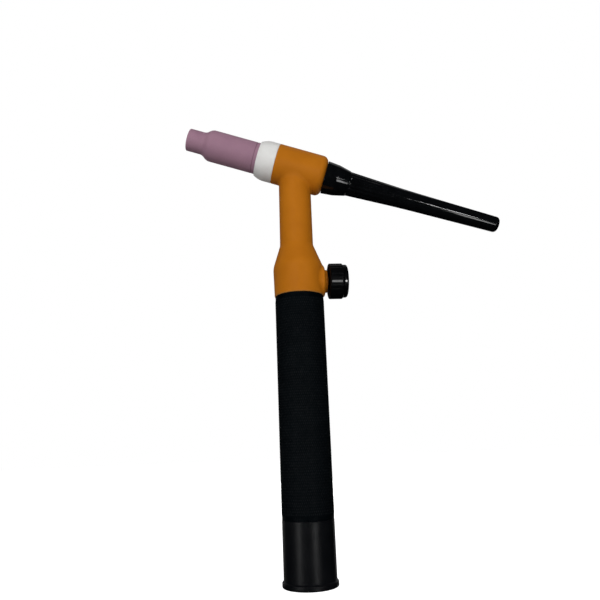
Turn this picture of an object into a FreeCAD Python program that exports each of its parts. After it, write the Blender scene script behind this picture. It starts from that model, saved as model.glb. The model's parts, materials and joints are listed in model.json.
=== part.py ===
"""TIG torch: gas cooled, rigid neck, 200 A size, with its gas valve at the top of the handle.

Frame: the origin is the centre of the handle's rear end, where the cable comes out, and +Z runs
up the handle. The head crosses the handle's axis in the XZ plane: the gas cup points towards -X
and a little up, the back cap towards +X and a little down. The valve knob points along +X.
Lengths are in millimetres and angles in degrees. Threads are plain cylinders at their major size.
"""
import FreeCAD, Part
import math
import os

Vector = FreeCAD.Vector

# Handle, from the cable's end upwards
boot_length = 34.4            # smooth rear boot, outside the grip
boot_inset = 0.1              # boot's side inside the grip's side
boot_lip_width = 0.85         # rounded lip round the boot's open end
boot_lip_height = 3.4
boot_spigot_length = 12.0     # part of the boot that plugs into the grip
boot_spigot_wall = 1.95       # round the way through for the cable and its cover
grip_length = 127.2           # knurled tube between the boot and the collar
grip_radius = 14.7
grip_wall = 2.5
grip_seat_length = 12.0       # part of the valve body that plugs into the grip

# Insulating cover: collar with the valve's boss, flare, neck and head in one moulding
collar_length = 18.1
collar_rim_step = 0.2         # collar's lower rim outside the grip's side
collar_swell = 0.4            # collar's top outside its lower rim
flare_length = 14.4
neck_radius = 10.15
neck_length = 52.1            # from the flare's top to the head's axis
head_radius = 12.8
head_rear_rounding = 4.0
neck_crease_rounding = 1.6
boss_reach = 15.6             # wide step of the valve's boss
boss_step = 2.5
boss_rounding = 1.4
boss_nose_reach = 17.2        # narrow step of the valve's boss
boss_nose_wall = 1.1
valve_drop = 8.6              # valve's axis below the collar's top

# Head, measured along its own axis from where it crosses the handle's axis
head_tilt = 17.0              # angle of the head's axis below level on the cap's side
head_front = 12.3             # cover's front face, on the cup's side
head_rear = 20.0              # cover's rear face, on the cap's side
head_tube_radius = 8.2
head_nose_length = 6.0        # brass nose in front of the cover
head_tube_recess = 2.5        # brass tube's rear end inside the cover
cap_thread_length = 12.0      # rear thread

# Gas cup and its insulator
cup_length = 47.5
cup_orifice_radius = 4.0      # a size 5 cup: 5/16 inch
cup_throat_length = 10.0
cup_tip_radius = 7.05
cup_throat_cone = 4.8
cup_tip_length = 10.6
cup_step_length = 3.6
cup_step_rounding = 5.0
cup_radius = 9.95
cup_thread_height = 0.6       # cup's thread outside its chamber
cup_thread_depth = 15.5
cup_seat_depth = 1.6          # cup's rear edge inside the insulator
insulator_length = 11.8
insulator_lip = 0.7           # front rim round the cup's recess
insulator_inset = 0.05        # ring's side inside the head's side

# Collet body, collet and electrode
cup_thread_radius = 6.5
collet_thread_radius = 4.75   # 3/8 inch
collet_thread_length = 9.5
collet_nozzle_radius = 4.75   # front tube with the gas ports
collet_nozzle_length = 15.0
collet_taper_length = 5.0
gas_port_radius = 0.8
gas_port_count = 4
collet_wall = 0.85
collet_slit_width = 0.4
collet_slit_length = 22.0
electrode_radius = 1.2
electrode_length = 150.0
electrode_point_length = 5.0
electrode_inset = 4.0         # tip behind the cup's mouth, as stored

# Back cap and its seal
cap_length = 115.3            # outside the head
cap_flange_radius = 10.5
cap_cone_length = 7.7
cap_cone_radius = 9.75
cap_shoulder_length = 15.3
cap_shoulder_radius = 8.0
cap_root_radius = 7.7         # grip just past the shoulder
cap_waist_length = 53.0
cap_waist_radius = 6.05
cap_end_radius = 5.0
cap_end_rounding = 2.3
cap_bore_margin = 1.3         # bore round the electrode
cap_bore_wall = 5.0           # solid end behind the bore
cap_flute_count = 16
cap_flute_radius = 0.9
cap_flute_depth = 0.45
cap_thread_radius = 7.0
cap_anchor_length = 10.0      # insert's length moulded into the cap
cap_anchor_radius = 5.6
cap_ring_section = 0.85       # O-ring, radius of its section

# Gas valve and power connection
valve_body_radius = 9.0
valve_top_rise = 14.9         # valve body's top above the valve's axis
valve_nose_wall = 0.95
valve_nose_reach = 16.0
gland_wall = 2.0
gland_start = 6.4
gland_length = 10.0
gland_thread_length = 5.0
stem_radius = 2.9             # threaded part
stem_shank_radius = 2.2       # part through the seal and into the knob
stem_point_length = 3.0
stem_point_reach = 0.6        # needle's tip inside the seat when shut
stem_point_radius = 0.55
stem_chamber_margin = 0.4     # chamber round the stem's thread
seat_radius = 1.0
seat_depth = 3.0
gas_way_radius = 1.6
stem_ring_section = 0.6
neck_tube_radius = 6.0
neck_tube_wall = 1.5
neck_tube_seat = 5.0
stud_radius = 6.0             # M12 x 1
stud_length = 16.0
stud_flange_step = 1.6
stud_flange_length = 6.0
stud_nose_radius = 5.0
stud_nose_length = 8.0
stud_bore_radius = 2.5
washer_thickness = 1.0

# Valve knob
knob_radius = 10.95
knob_drum_length = 7.9
knob_end_radius = 10.1
knob_end_length = 3.1
knob_dome = 1.0               # bulge of the knob's end face
knob_bore_depth = 6.6
knob_flute_count = 24
knob_flute_radius = 0.8
knob_flute_depth = 0.4
knob_screw_radius = 1.5       # M3
knob_screw_length = 7.0
knob_screw_head_radius = 2.75
knob_screw_head_height = 1.6
index_width = 1.3
index_depth = 0.7
index_margin = 0.8
index_dot_radius = 0.65
index_turn = 15.0             # marks below the -Y side, round the valve's axis

# Clearances
slip_gap = 0.05               # pushed or screwed together
turn_gap = 0.08               # turns or slides in place
face_gap = 0.05               # faces that meet
moulded_gap = 0.03            # moulding round metal
knob_gap = 1.1                # knob clear of the boss when the valve is shut
cup_gap = 0.25                # cup clear of the insulator and of the collet body's step
wide_gap = 0.4                # pieces that only pass each other

# Sizes that follow from what they fit
grip_bore_radius = grip_radius - grip_wall
boot_radius = grip_radius - boot_inset
boot_lip_radius = boot_radius + boot_lip_width
boot_spigot_radius = grip_bore_radius - slip_gap
cable_bore_radius = boot_spigot_radius - boot_spigot_wall
collar_rim_radius = grip_radius + collar_rim_step
collar_radius = collar_rim_radius + collar_swell
insulator_radius = head_radius - insulator_inset
insulator_front_radius = cup_radius + cup_gap + insulator_lip
insulator_wall_radius = cup_thread_radius + wide_gap
head_bore_radius = collet_thread_radius + slip_gap
cup_chamber_radius = cup_thread_radius - cup_thread_height
collet_radius = electrode_radius + collet_wall
cap_bore_radius = electrode_radius + cap_bore_margin
cap_ring_radius = cap_thread_radius + slip_gap + cap_ring_section
cap_nose_radius = cap_ring_radius + cap_ring_section + slip_gap
stem_chamber_radius = stem_radius + stem_chamber_margin
gland_radius = stem_radius + gland_wall
valve_nose_radius = gland_radius + slip_gap + valve_nose_wall
boss_nose_radius = valve_nose_radius + boss_nose_wall
boss_radius = boss_nose_radius + boss_step
stud_flange_radius = stud_radius + stud_flange_step

# Places that follow from the sizes
grip_start = boot_length
grip_end = grip_start + grip_length
collar_top = grip_end + collar_length
flare_top = collar_top + flare_length
head_height = flare_top + neck_length
valve_height = collar_top - valve_drop
insulator_back = -head_front
insulator_front = insulator_back - insulator_length
cup_back = insulator_front + cup_seat_depth
cup_tip = cup_back - cup_length
cup_shoulder = cup_back - cup_thread_depth
collet_step = cup_shoulder + cup_gap
collet_front = collet_step - collet_nozzle_length
head_nose_end = -head_front - head_nose_length
head_tube_end = head_rear - head_tube_recess
cap_thread_end = head_tube_end - cap_thread_length
cap_ring_place = head_tube_end + face_gap + cap_ring_section
cap_nose_face = cap_ring_place + cap_ring_section + face_gap
cap_face = head_rear + face_gap
cap_end = cap_face + cap_length
electrode_tip = cup_tip + electrode_inset
knob_face = boss_nose_reach + knob_gap
knob_step = knob_face + knob_drum_length
knob_end = knob_step + knob_end_length
stem_end = knob_face + knob_bore_depth
stud_top = grip_end - grip_seat_length - washer_thickness - face_gap
stud_thread_top = stud_top - stud_flange_length
stud_end = stud_thread_top - stud_length


def corner_points(before, corner, after, rounding):
    """Where a corner's rounding starts, its middle and where it ends."""
    back = (before - corner).normalize()
    ahead = (after - corner).normalize()
    half = back.getAngle(ahead) / 2
    run = rounding / math.tan(half)
    rise = rounding / math.sin(half) - rounding
    middle = corner + (back + ahead).normalize() * rise
    return corner + back * run, middle, corner + ahead * run


def turned(*corners):
    """Solid turned about Z from (radius, height) corners; a third number rounds that corner."""
    places = [Vector(corner[0], 0, corner[1]) for corner in corners]
    edges = []
    first = None
    last = None
    for index, corner in enumerate(corners):
        start = end = places[index]
        arc = None
        if len(corner) == 3:
            after = places[(index + 1) % len(places)]
            start, middle, end = corner_points(places[index - 1], places[index], after, corner[2])
            arc = Part.Arc(start, middle, end).toShape()
        if last is None:
            first = start
        else:
            edges.append(Part.makeLine(last, start))
        if arc:
            edges.append(arc)
        last = end
    edges.append(Part.makeLine(last, first))
    face = Part.Face(Part.Wire(edges))
    return face.revolve(Vector(0, 0, 0), Vector(0, 0, 1), 360)


def rod(radius, start, end):
    """Cylinder on Z between two heights."""
    return Part.makeCylinder(radius, end - start, Vector(0, 0, start))


def ring_seal(radius, section, place):
    """O-ring round Z at a height."""
    return Part.makeTorus(radius, section, Vector(0, 0, place))


def turned_copy(shape, angle):
    """The shape turned about Z."""
    copy = shape.copy()
    copy.rotate(Vector(0, 0, 0), Vector(0, 0, 1), angle)
    return copy


def around(cutter, count):
    """Copies of a cutter, evenly spaced round Z."""
    return Part.makeCompound([turned_copy(cutter, 360 * index / count) for index in range(count)])


def on_head(shape):
    """Stands a shape made on Z onto the head's axis, with Z towards the back cap."""
    turn = FreeCAD.Rotation(Vector(0, 1, 0), 90 + head_tilt)
    shape.Placement = FreeCAD.Placement(Vector(0, 0, head_height), turn).multiply(shape.Placement)
    return shape


def on_valve(shape):
    """Stands a shape made on Z onto the valve's axis, with Z towards the knob."""
    turn = FreeCAD.Rotation(Vector(0, 1, 0), 90)
    shape.Placement = FreeCAD.Placement(Vector(0, 0, valve_height), turn).multiply(shape.Placement)
    return shape


# ---- Gas cup, insulator, collet body, collet and electrode ----

def gas_cup():
    """Ceramic cup: small tip, smooth step, straight body and a threaded rear end."""
    step_start = cup_tip + cup_tip_length
    step_end = step_start + cup_step_length
    throat = cup_tip + cup_throat_length
    return on_head(turned(
        (cup_orifice_radius, cup_tip, 0.5),
        (cup_tip_radius, cup_tip, 0.6),
        (cup_tip_radius, step_start, cup_step_rounding),
        (cup_radius, step_end, cup_step_rounding),
        (cup_radius, cup_back, 0.9),
        (cup_thread_radius + turn_gap, cup_back),
        (cup_thread_radius + turn_gap, cup_shoulder),
        (cup_chamber_radius, cup_shoulder),
        (cup_chamber_radius, throat + cup_throat_cone),
        (cup_orifice_radius, throat),
    ))


def cup_insulator():
    """Barrel shaped ring between the cup and the head, recessed for both."""
    seat = cup_back + cup_gap
    nose_seat = head_nose_end - face_gap
    return on_head(turned(
        (cup_radius + cup_gap, insulator_front),
        (insulator_front_radius, insulator_front, 0.3),
        (insulator_radius, insulator_front + insulator_length / 3, 12.0),
        (insulator_radius, insulator_back - face_gap, 0.3),
        (head_tube_radius + slip_gap, insulator_back - face_gap),
        (head_tube_radius + slip_gap, nose_seat),
        (insulator_wall_radius, nose_seat),
        (insulator_wall_radius, seat),
        (cup_radius + cup_gap, seat),
    ))


def collet_body():
    """Brass body that screws into the head, carries the cup and lets the gas out of its ports."""
    body = turned(
        (electrode_radius + turn_gap, collet_front),
        (collet_nozzle_radius, collet_front, 0.6),
        (collet_nozzle_radius, collet_step),
        (cup_thread_radius, collet_step),
        (cup_thread_radius, head_nose_end - face_gap),
        (collet_thread_radius, head_nose_end - face_gap),
        (collet_thread_radius, head_nose_end + collet_thread_length),
        (collet_radius + turn_gap, head_nose_end + collet_thread_length),
        (collet_radius + turn_gap, collet_front + collet_taper_length),
    )
    port_place = collet_step - 2 * gas_port_radius
    port = Part.makeCylinder(gas_port_radius, cup_radius, Vector(0, 0, port_place), Vector(1, 0, 0))
    return on_head(body.cut(around(port, gas_port_count)))


def collet():
    """Slit copper tube that the back cap drives into the collet body's taper."""
    front = collet_front + collet_taper_length
    tube = turned(
        (electrode_radius + slip_gap, front),
        (collet_radius, front, 0.4),
        (collet_radius, cap_thread_end - face_gap),
        (electrode_radius + slip_gap, cap_thread_end - face_gap),
    )
    width = 3 * collet_radius
    corner = Vector(-width / 2, -collet_slit_width / 2, front - collet_slit_width)
    slit = Part.makeBox(width, collet_slit_width, collet_slit_length, corner)
    return on_head(tube.cut(around(slit, 4)))


def tungsten_electrode():
    """Ground tungsten rod, held by the collet."""
    return on_head(turned(
        (0, electrode_tip),
        (0.15 * electrode_radius, electrode_tip),
        (electrode_radius, electrode_tip + electrode_point_length),
        (electrode_radius, electrode_tip + electrode_length),
        (0, electrode_tip + electrode_length),
    ))


# ---- Metal of the head and neck ----

def head_body():
    """Brass tube across the head, threaded at both ends, with the gas way from the neck."""
    tube = on_head(turned(
        (head_bore_radius, head_nose_end),
        (head_tube_radius, head_nose_end),
        (head_tube_radius, head_tube_end),
        (cap_thread_radius + turn_gap, head_tube_end),
        (cap_thread_radius + turn_gap, cap_thread_end),
        (head_bore_radius, cap_thread_end),
    ))
    gas_way = rod(gas_way_radius, head_height - 2 * head_tube_radius, head_height)
    return tube.cut(gas_way)


def neck_tube():
    """Copper tube from the valve body to the head, shaped to the head tube's side."""
    start = valve_height + valve_top_rise - neck_tube_seat
    tube = rod(neck_tube_radius, start, head_height)
    tube = tube.cut(rod(neck_tube_radius - neck_tube_wall, start, head_height))
    reach = 2 * neck_radius
    return tube.cut(on_head(rod(head_tube_radius + slip_gap, -reach, reach)))


def valve_body():
    """Brass block under the collar: seats the grip, the stud, the neck tube and the gland."""
    foot = grip_end - grip_seat_length
    top = valve_height + valve_top_rise
    block = turned(
        (0, foot),
        (grip_bore_radius - slip_gap, foot, 0.6),
        (grip_bore_radius - slip_gap, grip_end - face_gap),
        (valve_body_radius, grip_end - face_gap),
        (valve_body_radius, top, 0.6),
        (0, top),
    )
    block = block.fuse(on_valve(rod(valve_nose_radius, 0, valve_nose_reach)))
    stud_way = rod(stud_nose_radius + slip_gap, foot, foot + stud_nose_length + face_gap)
    neck_seat = rod(neck_tube_radius + slip_gap, top - neck_tube_seat - face_gap, top)
    gland_way = on_valve(rod(gland_radius + slip_gap, gland_start - face_gap, valve_nose_reach))
    chamber = on_valve(rod(stem_chamber_radius, 0, gland_start))
    seat = on_valve(rod(seat_radius, -seat_depth, 0))
    inlet = rod(gas_way_radius, foot, valve_height)
    inlet.translate(Vector(stem_chamber_radius, 0, 0))
    outlet = rod(gas_way_radius, valve_height, top)
    outlet.translate(Vector(-seat_depth, 0, 0))
    for hole in (stud_way, neck_seat, gland_way, chamber, seat, inlet, outlet):
        block = block.cut(hole)
    return block


# ---- Insulating cover ----

def cover_outside():
    """Outer shape of the moulding: collar, flare, neck, head and the valve's stepped boss."""
    stalk = turned(
        (0, grip_end),
        (collar_rim_radius, grip_end, 0.7),
        (collar_radius, collar_top, 12.0),
        (neck_radius, flare_top, 14.0),
        (neck_radius, head_height),
        (0, head_height),
    )
    head = on_head(turned(
        (0, -head_front),
        (head_radius, -head_front, 0.5),
        (head_radius, head_rear, head_rear_rounding),
        (0, head_rear),
    ))
    boss = on_valve(turned(
        (0, 0),
        (boss_radius, 0),
        (boss_radius, boss_reach, boss_rounding),
        (boss_nose_radius, boss_reach, 0.3),
        (boss_nose_radius, boss_nose_reach, 0.4),
        (0, boss_nose_reach),
    ))
    body = stalk.fuse(head).removeSplitter()
    body = body.makeFillet(neck_crease_rounding, crease_edges(body))
    return body.fuse(boss)


def crease_edges(body):
    """Edges where the neck's round side runs into the head's round side."""
    neck_edges = set()
    head_edges = set()
    found = []
    for face in body.Faces:
        if isinstance(face.Surface, Part.Cylinder):
            is_neck = abs(face.Surface.Radius - neck_radius) < 0.001
            is_head = abs(face.Surface.Radius - head_radius) < 0.001
            for edge in face.Edges:
                if is_neck:
                    neck_edges.add(edge.hashCode())
                if is_head and edge.hashCode() in neck_edges:
                    found.append(edge)
                if is_head:
                    head_edges.add(edge.hashCode())
                if is_neck and edge.hashCode() in head_edges:
                    found.append(edge)
    return found


def insulating_cover():
    """The whole moulding with room for the brass and copper inside it."""
    reach = 2 * head_rear
    top = valve_height + valve_top_rise
    room = [
        on_head(rod(head_tube_radius + moulded_gap, -reach, head_tube_end + moulded_gap)),
        on_head(rod(cap_nose_radius + cup_gap, head_tube_end, reach)),
        rod(neck_tube_radius + moulded_gap, grip_end, head_height),
        rod(valve_body_radius + moulded_gap, grip_end, top + moulded_gap),
        on_valve(rod(valve_nose_radius + moulded_gap, 0, boss_nose_reach)),
    ]
    cover = cover_outside()
    for space in room:
        cover = cover.cut(space)
    return cover


# ---- Back cap ----

def back_cap():
    """Long phenolic cap: flange, cone, fluted grip and a plain tapered end."""
    root = cap_face + cap_shoulder_length
    waist = cap_face + cap_waist_length
    bore_end = cap_end - cap_bore_wall
    cap = turned(
        (cap_bore_radius, cap_nose_face + cap_anchor_length),
        (cap_anchor_radius + moulded_gap, cap_nose_face + cap_anchor_length),
        (cap_anchor_radius + moulded_gap, cap_nose_face),
        (cap_nose_radius, cap_nose_face),
        (cap_nose_radius, cap_face),
        (cap_flange_radius, cap_face, 0.4),
        (cap_cone_radius, cap_face + cap_cone_length, 6.0),
        (cap_shoulder_radius, root, 0.3),
        (cap_root_radius, root + cap_shoulder_radius - cap_root_radius, 0.3),
        (cap_waist_radius, waist, 900.0),
        (cap_end_radius, cap_end, cap_end_rounding),
        (0, cap_end),
        (0, bore_end),
        (cap_bore_radius, bore_end),
    )
    return on_head(cap.cut(around(cap_flute(root, waist), cap_flute_count)))


def cap_flute(root, waist):
    """Cutter for one flute, lying along the grip's taper and running out at the waist."""
    start = Vector(cap_root_radius + cap_flute_radius - cap_flute_depth, 0, root + 1.5)
    end = Vector(cap_waist_radius + cap_flute_radius, 0, waist)
    run = end - start
    groove = Part.makeCylinder(cap_flute_radius, run.Length, start, run)
    return groove.fuse(Part.makeSphere(cap_flute_radius, start))


def back_cap_insert():
    """Brass threaded insert in the cap's open end; its front face drives the collet."""
    return on_head(turned(
        (electrode_radius + cup_gap, cap_thread_end + face_gap),
        (cap_thread_radius, cap_thread_end + face_gap, 0.5),
        (cap_thread_radius, cap_nose_face),
        (cap_anchor_radius, cap_nose_face),
        (cap_anchor_radius, cap_nose_face + cap_anchor_length),
        (electrode_radius + cup_gap, cap_nose_face + cap_anchor_length),
    ))


def back_cap_o_ring():
    """Seal between the cap's nose and the brass tube's rear face."""
    return on_head(ring_seal(cap_ring_radius, cap_ring_section, cap_ring_place))


# ---- Gas valve ----

def valve_gland():
    """Brass bush screwed into the valve body; it guides the stem's thread and its seal."""
    end = gland_start + gland_length
    return on_valve(turned(
        (stem_radius + turn_gap, gland_start),
        (gland_radius, gland_start, 0.3),
        (gland_radius, end, 0.3),
        (stem_radius + turn_gap, end),
    ))


def stem_groove():
    """Where the stem's seal groove starts and ends along the valve's axis."""
    middle = gland_start + gland_thread_length + 1.8
    half = stem_ring_section + slip_gap
    return middle - half, middle + half


def valve_stem():
    """Needle that shuts the seat, threaded in the gland, with a seal groove and a shank."""
    groove_start, groove_end = stem_groove()
    groove_floor = stem_radius - 2 * stem_ring_section
    return on_valve(turned(
        (0, -stem_point_reach),
        (stem_point_radius, -stem_point_reach),
        (seat_radius - slip_gap, 0),
        (stem_shank_radius, stem_point_length),
        (stem_shank_radius, gland_start - 1.0),
        (stem_radius, gland_start - 1.0),
        (stem_radius, groove_start),
        (groove_floor, groove_start),
        (groove_floor, groove_end),
        (stem_radius, groove_end),
        (stem_radius, groove_end + 1.2),
        (stem_shank_radius, groove_end + 1.2),
        (stem_shank_radius, stem_end, 0.3),
        (knob_screw_radius, stem_end),
        (knob_screw_radius, stem_end - knob_screw_length),
        (0, stem_end - knob_screw_length),
    ))


def valve_stem_o_ring():
    """Seal in the stem's groove, running in the gland's bore."""
    groove_start, groove_end = stem_groove()
    ring_radius = stem_radius - stem_ring_section
    return on_valve(ring_seal(ring_radius, stem_ring_section - slip_gap, (groove_start + groove_end) / 2))


def index_bar():
    """Inlaid line along the knob's drum, near its -Y side."""
    length = knob_drum_length - 2 * index_margin
    corner = Vector(-index_width / 2, -knob_radius, knob_face + index_margin)
    bar = Part.makeBox(index_width, index_depth, length, corner)
    return on_valve(turned_copy(bar, index_turn))


def index_dot():
    """Inlaid dot on the knob's end step, in line with the bar."""
    place = Vector(0, -knob_end_radius, (knob_step + knob_end) / 2)
    dot = Part.makeCylinder(index_dot_radius, index_depth, place, Vector(0, 1, 0))
    return on_valve(turned_copy(dot, index_turn))


def valve_knob():
    """Fluted drum with a smaller end step, pushed onto the stem and held by a screw."""
    knob = turned(
        (0, knob_face),
        (knob_radius, knob_face, 0.6),
        (knob_radius, knob_step, 0.6),
        (knob_end_radius, knob_step + 0.6, 0.4),
        (knob_end_radius, knob_end, 1.2),
        (0.6 * knob_end_radius, knob_end + 0.7 * knob_dome, 8.0),
        (0, knob_end + knob_dome),
    )
    place = Vector(knob_radius + knob_flute_radius - knob_flute_depth, 0, knob_face - 1)
    flute = Part.makeCylinder(knob_flute_radius, knob_drum_length + 2, place)
    flutes = around(flute, knob_flute_count)
    flutes.rotate(Vector(0, 0, 0), Vector(0, 0, 1), 180 / knob_flute_count)
    knob = knob.cut(flutes)
    knob = knob.cut(rod(stem_shank_radius + slip_gap, knob_face, stem_end + slip_gap))
    knob = knob.cut(rod(knob_screw_radius + slip_gap, stem_end, knob_end))
    head_room = knob_screw_head_radius + slip_gap
    knob = knob.cut(rod(head_room, knob_end - knob_screw_head_height - slip_gap, knob_end + knob_dome))
    return on_valve(knob).cut(index_bar()).cut(index_dot())


def knob_screw():
    """Small screw through the knob's end into the stem, with a slot in its head."""
    head_start = knob_end - knob_screw_head_height
    screw = rod(knob_screw_head_radius, head_start, knob_end)
    screw = screw.fuse(rod(knob_screw_radius - slip_gap, stem_end - knob_screw_length + 1, head_start))
    slot_corner = Vector(-knob_screw_head_radius, -0.35, knob_end - 0.8)
    slot = Part.makeBox(2 * knob_screw_head_radius, 0.7, 0.8, slot_corner)
    return on_valve(screw.cut(slot))


# ---- Handle and power connection ----

def handle_tube():
    """Grip tube, at the size over its knurl."""
    return turned(
        (grip_bore_radius, grip_start + face_gap),
        (grip_radius, grip_start + face_gap, 0.4),
        (grip_radius, grip_end - face_gap, 0.4),
        (grip_bore_radius, grip_end - face_gap),
    )


def rear_boot():
    """Smooth boot at the cable's end, with a rounded lip outside and a spigot in the grip."""
    return turned(
        (cable_bore_radius, 0),
        (boot_lip_radius, 0, 0.7),
        (boot_lip_radius, boot_lip_height - 0.8, 0.7),
        (boot_radius, boot_lip_height, 0.6),
        (boot_radius, grip_start, 0.5),
        (boot_spigot_radius, grip_start),
        (boot_spigot_radius, grip_start + boot_spigot_length, 0.4),
        (cable_bore_radius, grip_start + boot_spigot_length, 0.4),
    )


def cable_stud():
    """Hollow brass stud for the power cable's nut: it carries the current and the gas."""
    foot = grip_end - grip_seat_length
    stud = turned(
        (stud_bore_radius, stud_end),
        (stud_radius, stud_end, 0.6),
        (stud_radius, stud_thread_top),
        (stud_flange_radius, stud_thread_top),
        (stud_flange_radius, stud_top),
        (stud_nose_radius, stud_top),
        (stud_nose_radius, foot + stud_nose_length),
        (stud_bore_radius, foot + stud_nose_length),
    )
    across_flats = 1.84 * stud_flange_radius
    flats = Part.makeBox(across_flats, 4 * stud_flange_radius, 2 * grip_length)
    flats.translate(Vector(-across_flats / 2, -2 * stud_flange_radius, 0))
    hexagon = flats.common(turned_copy(flats, 60)).common(turned_copy(flats, 120))
    return stud.common(hexagon)


def stud_washer():
    """Sealing washer between the stud's hexagon and the valve body."""
    top = grip_end - grip_seat_length - face_gap / 2
    bottom = stud_top + face_gap / 2
    washer = rod(stud_flange_radius - slip_gap, bottom, top)
    return washer.cut(rod(stud_nose_radius + slip_gap, bottom, top))


PIECES = {
    "gas_cup": gas_cup,
    "cup_insulator": cup_insulator,
    "collet_body": collet_body,
    "collet": collet,
    "tungsten_electrode": tungsten_electrode,
    "head_body": head_body,
    "neck_tube": neck_tube,
    "insulating_cover": insulating_cover,
    "back_cap": back_cap,
    "back_cap_insert": back_cap_insert,
    "back_cap_o_ring": back_cap_o_ring,
    "valve_body": valve_body,
    "valve_gland": valve_gland,
    "valve_stem": valve_stem,
    "valve_stem_o_ring": valve_stem_o_ring,
    "valve_knob": valve_knob,
    "knob_screw": knob_screw,
    "knob_index_bar": index_bar,
    "knob_index_dot": index_dot,
    "handle_tube": handle_tube,
    "rear_boot": rear_boot,
    "cable_stud": cable_stud,
    "stud_washer": stud_washer,
}

os.makedirs("parts", exist_ok=True)
for name, make in PIECES.items():
    piece = make()
    piece.exportStep("parts/" + name + ".step")
    print(name, "solids", len(piece.Solids), "valid", piece.isValid(), "mm3", round(piece.Volume, 1))
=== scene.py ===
import json
import math

import bmesh
import bpy
import numpy as np
from mathutils import Matrix


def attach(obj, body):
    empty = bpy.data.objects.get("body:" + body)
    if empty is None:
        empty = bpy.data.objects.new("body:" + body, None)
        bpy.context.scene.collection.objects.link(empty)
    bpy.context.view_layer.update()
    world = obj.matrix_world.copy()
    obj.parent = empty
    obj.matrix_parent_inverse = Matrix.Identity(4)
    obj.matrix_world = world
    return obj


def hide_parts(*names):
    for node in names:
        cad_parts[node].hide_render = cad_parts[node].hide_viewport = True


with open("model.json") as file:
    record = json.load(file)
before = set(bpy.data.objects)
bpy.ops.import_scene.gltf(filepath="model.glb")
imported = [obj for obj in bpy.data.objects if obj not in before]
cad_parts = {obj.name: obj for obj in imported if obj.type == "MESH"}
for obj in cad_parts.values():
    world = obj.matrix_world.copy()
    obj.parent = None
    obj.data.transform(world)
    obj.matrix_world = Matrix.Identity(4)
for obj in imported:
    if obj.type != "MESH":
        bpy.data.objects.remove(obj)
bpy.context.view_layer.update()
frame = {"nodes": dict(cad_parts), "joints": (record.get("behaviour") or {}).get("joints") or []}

MM = 0.001                      # the sizes below are in mm; Blender's are in metres
SAME_POINT = 1e-6               # points closer than this are one point
SAME_DECIMALS = 5               # a new mesh's points are one where these decimals of a mm agree
SHARP_ANGLE = 35                # edges at steeper angles than this stay sharp, in degrees


# ---- Axes and sizes taken from the CAD frame ----

class Place:
    """An axis that pieces are turned about, with y kept level: z runs along it, in mm."""

    def __init__(self, base, along):
        self.base = np.array(base, float)
        z = np.array(along, float) / np.linalg.norm(along)
        y = np.array((0.0, 1.0, 0.0))
        self.turn = np.stack((np.cross(y, z), y, z))

    def out(self, points):
        """Points given about this axis, in the row frame."""
        return self.base + points @ self.turn

    def back(self, points):
        """Points of the row frame, as seen from this axis."""
        return (points - self.base) @ self.turn.T


def points_of(mesh):
    """A mesh's vertices in mm."""
    points = np.empty(len(mesh.vertices) * 3, np.float32)
    mesh.vertices.foreach_get("co", points)
    return points.reshape(-1, 3).astype(float) / MM


def corners_of(node):
    """A CAD node's vertices in mm."""
    return points_of(frame["nodes"][node].data)


def axis_of(joint, node):
    """Place on a joint's axis, with z towards the node."""
    found = next(j for j in frame["joints"] if j["name"] == joint)
    base = np.array(found["pos_m"]) / MM
    along = np.array(found["axis"], float)
    if (corners_of(node).mean(0) - base) @ along < 0:
        along = -along
    return Place(base, along)


def span(node, place):
    """A CAD node's lowest and highest place along an axis and its largest radius, in mm."""
    points = place.back(corners_of(node))
    return points[:, 2].min(), points[:, 2].max(), np.hypot(points[:, 0], points[:, 1]).max()


HANDLE = Place((0, 0, 0), (0, 0, 1))
HEAD = axis_of("cap_turn", "back_cap")
VALVE = axis_of("valve_turn", "valve_knob")

cup_tip, cup_back, cup_radius = span("gas_cup", HEAD)
ring_front, ring_back, ring_radius = span("cup_insulator", HEAD)
cap_low, cap_end, cap_flange = span("back_cap", HEAD)
insert_end = span("back_cap_insert", HEAD)[1]
metal_end = span("head_body", HEAD)[1]
boot_low, boot_high, boot_lip = span("rear_boot", HANDLE)
grip_low, grip_high, grip_radius = span("handle_tube", HANDLE)
body_end = span("valve_body", HANDLE)[1]
knob_face, _, knob_radius = span("valve_knob", VALVE)


# ---- Shapes ----

CORNER_RUN = 0.12               # distance from a corner to the next point, on a divided side


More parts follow.
